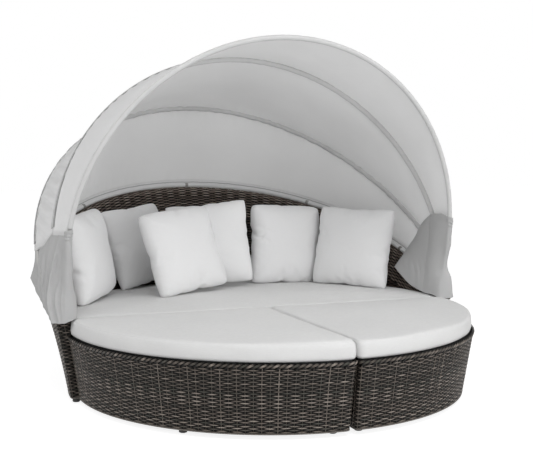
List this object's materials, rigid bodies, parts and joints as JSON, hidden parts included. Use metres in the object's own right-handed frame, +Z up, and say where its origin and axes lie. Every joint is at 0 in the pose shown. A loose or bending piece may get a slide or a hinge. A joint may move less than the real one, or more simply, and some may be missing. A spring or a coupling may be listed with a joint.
{
  "type": "outdoor daybed with canopy",
  "caption": "Round woven outdoor daybed that splits into a half-round sofa and quarter-round ottomans, with a folding cloth canopy on swinging bows.",
  "frame": {"origin": "centre of the footprint on the floor", "axes": "+Z up, +X to the right as one faces the daybed, -Y towards the front where the ottomans stand"},
  "size_m": [2.2379, 2.4779, 1.7214],
  "materials": {
    "wicker": "flat resin strand, plain weave, dark grey-brown",
    "frame": "powder coated",
    "plastic": "moulded glide",
    "bow": "satin tube",
    "steel": "zinc plated",
    "cushion": "plain woven outdoor cloth, off-white",
    "pillow": "plain woven outdoor cloth, off-white",
    "canopy": "light grey polyester cloth",
    "deck": "open woven strap"
  },
  "bodies": {
    "sofa": {"left_pivot_bolt": "steel", "left_pivot_bracket": "steel", "pillow_centre": "pillow", "pillow_centre_left": "pillow", "pillow_far_left": "pillow", "pillow_leaning": "pillow", "pillow_left": "pillow", "pillow_right": "pillow", "rail_clip_1": "steel", "rail_clip_2": "steel", "rail_clip_3": "steel", "rail_clip_4": "steel", "rail_clip_5": "steel", "rear_rail": "bow", "right_pivot_bolt": "steel", "right_pivot_bracket": "steel", "sofa_foot_1": "plastic", "sofa_foot_2": "plastic", "sofa_foot_3": "plastic", "sofa_foot_4": "plastic", "sofa_foot_5": "plastic", "sofa_foot_6": "plastic", "sofa_frame": "frame", "sofa_seat_cushion": "cushion", "sofa_seat_deck": "deck", "sofa_wicker_shell": "wicker"},
    "rear_bow": {"rear_bow": "bow", "canopy_rear_panel": "canopy"},
    "middle_bow": {"middle_bow": "bow", "canopy_middle_panel": "canopy", "left_skirt_rear": "canopy", "right_skirt_rear": "canopy"},
    "front_bow": {"front_bow": "bow", "canopy_front_panel": "canopy", "left_skirt_front": "canopy", "right_skirt_front": "canopy"},
    "left_ottoman": {"left_ottoman_cushion": "cushion", "left_ottoman_deck": "deck", "left_ottoman_foot_1": "plastic", "left_ottoman_foot_2": "plastic", "left_ottoman_foot_3": "plastic", "left_ottoman_foot_4": "plastic", "left_ottoman_frame": "frame", "left_ottoman_wicker_shell": "wicker"},
    "right_ottoman": {"right_ottoman_cushion": "cushion", "right_ottoman_deck": "deck", "right_ottoman_foot_1": "plastic", "right_ottoman_foot_2": "plastic", "right_ottoman_foot_3": "plastic", "right_ottoman_foot_4": "plastic", "right_ottoman_frame": "frame", "right_ottoman_wicker_shell": "wicker"}
  },
  "joints": [
    {"name": "rear_bow_fold", "type": "hinge", "parent": "sofa", "child": "rear_bow", "pos_m": [0, -0.208, 0.48], "axis": [-1, 0, 0], "range_deg": [0, 15], "deforming": ["canopy_rear_panel"]},
    {"name": "middle_bow_fold", "type": "hinge", "parent": "rear_bow", "child": "middle_bow", "pos_m": [0, -0.208, 0.48], "axis": [-1, 0, 0], "range_deg": [0, 27], "deforming": ["canopy_middle_panel", "left_skirt_rear", "right_skirt_rear"]},
    {"name": "front_bow_fold", "type": "hinge", "parent": "middle_bow", "child": "front_bow", "pos_m": [0, -0.208, 0.48], "axis": [-1, 0, 0], "range_deg": [0, 28.5], "deforming": ["canopy_front_panel", "left_skirt_front", "right_skirt_front"]},
    {"name": "left_ottoman_slide", "type": "slide", "parent": "sofa", "child": "left_ottoman", "axis": [-0.7071, -0.7071, 0], "range_m": [0, 0.6]},
    {"name": "right_ottoman_slide", "type": "slide", "parent": "sofa", "child": "right_ottoman", "axis": [0.7071, -0.7071, 0], "range_m": [0, 0.6]}
  ],
  "couplings": [
    {"joint": "middle_bow_fold", "follows": "rear_bow_fold", "ratio": 1.8},
    {"joint": "front_bow_fold", "follows": "rear_bow_fold", "ratio": 1.9}
  ]
}
